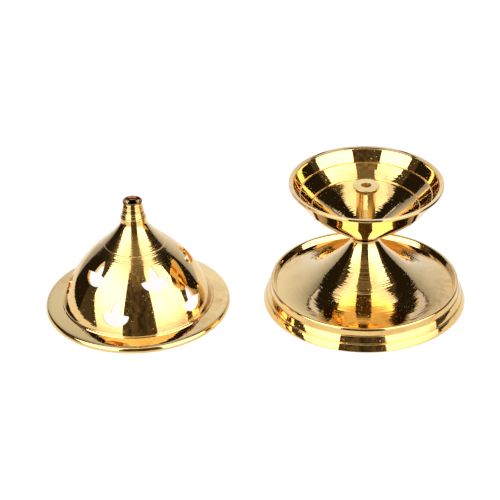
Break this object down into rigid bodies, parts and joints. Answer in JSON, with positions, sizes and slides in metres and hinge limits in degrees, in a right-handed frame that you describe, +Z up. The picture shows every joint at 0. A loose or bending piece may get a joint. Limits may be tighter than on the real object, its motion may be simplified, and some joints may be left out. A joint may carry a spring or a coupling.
{
  "type": "footed table censer and oil lamp with a pierced lid",
  "caption": "Polished brass table censer: hollow flared stand, shallow bowl with a slotted wick post, and a pierced dome lid with a chimney set down beside it.",
  "frame": {"origin": "on the table, at the centre of the whole set's footprint", "axes": "+Z up; +X from the lid to the stand; -Y towards the viewer"},
  "size_m": [0.1876, 0.09, 0.0587],
  "materials": {
    "polished_brass": "mirror polished with fine turning lines",
    "cast_brass": "cast and faced, satin"
  },
  "bodies": {
    "stand": {"pedestal": "polished_brass", "bowl": "polished_brass", "wick_post": "cast_brass", "fixing_washer": "cast_brass", "fixing_nut": "cast_brass"},
    "lid": {"lid_shell": "polished_brass", "chimney": "polished_brass"}
  },
  "joints": [
    {"name": "lid_lift", "type": "slide", "parent": "stand", "child": "lid", "axis": [0, 0, 1], "range_m": [0, 0.12]}
  ]
}
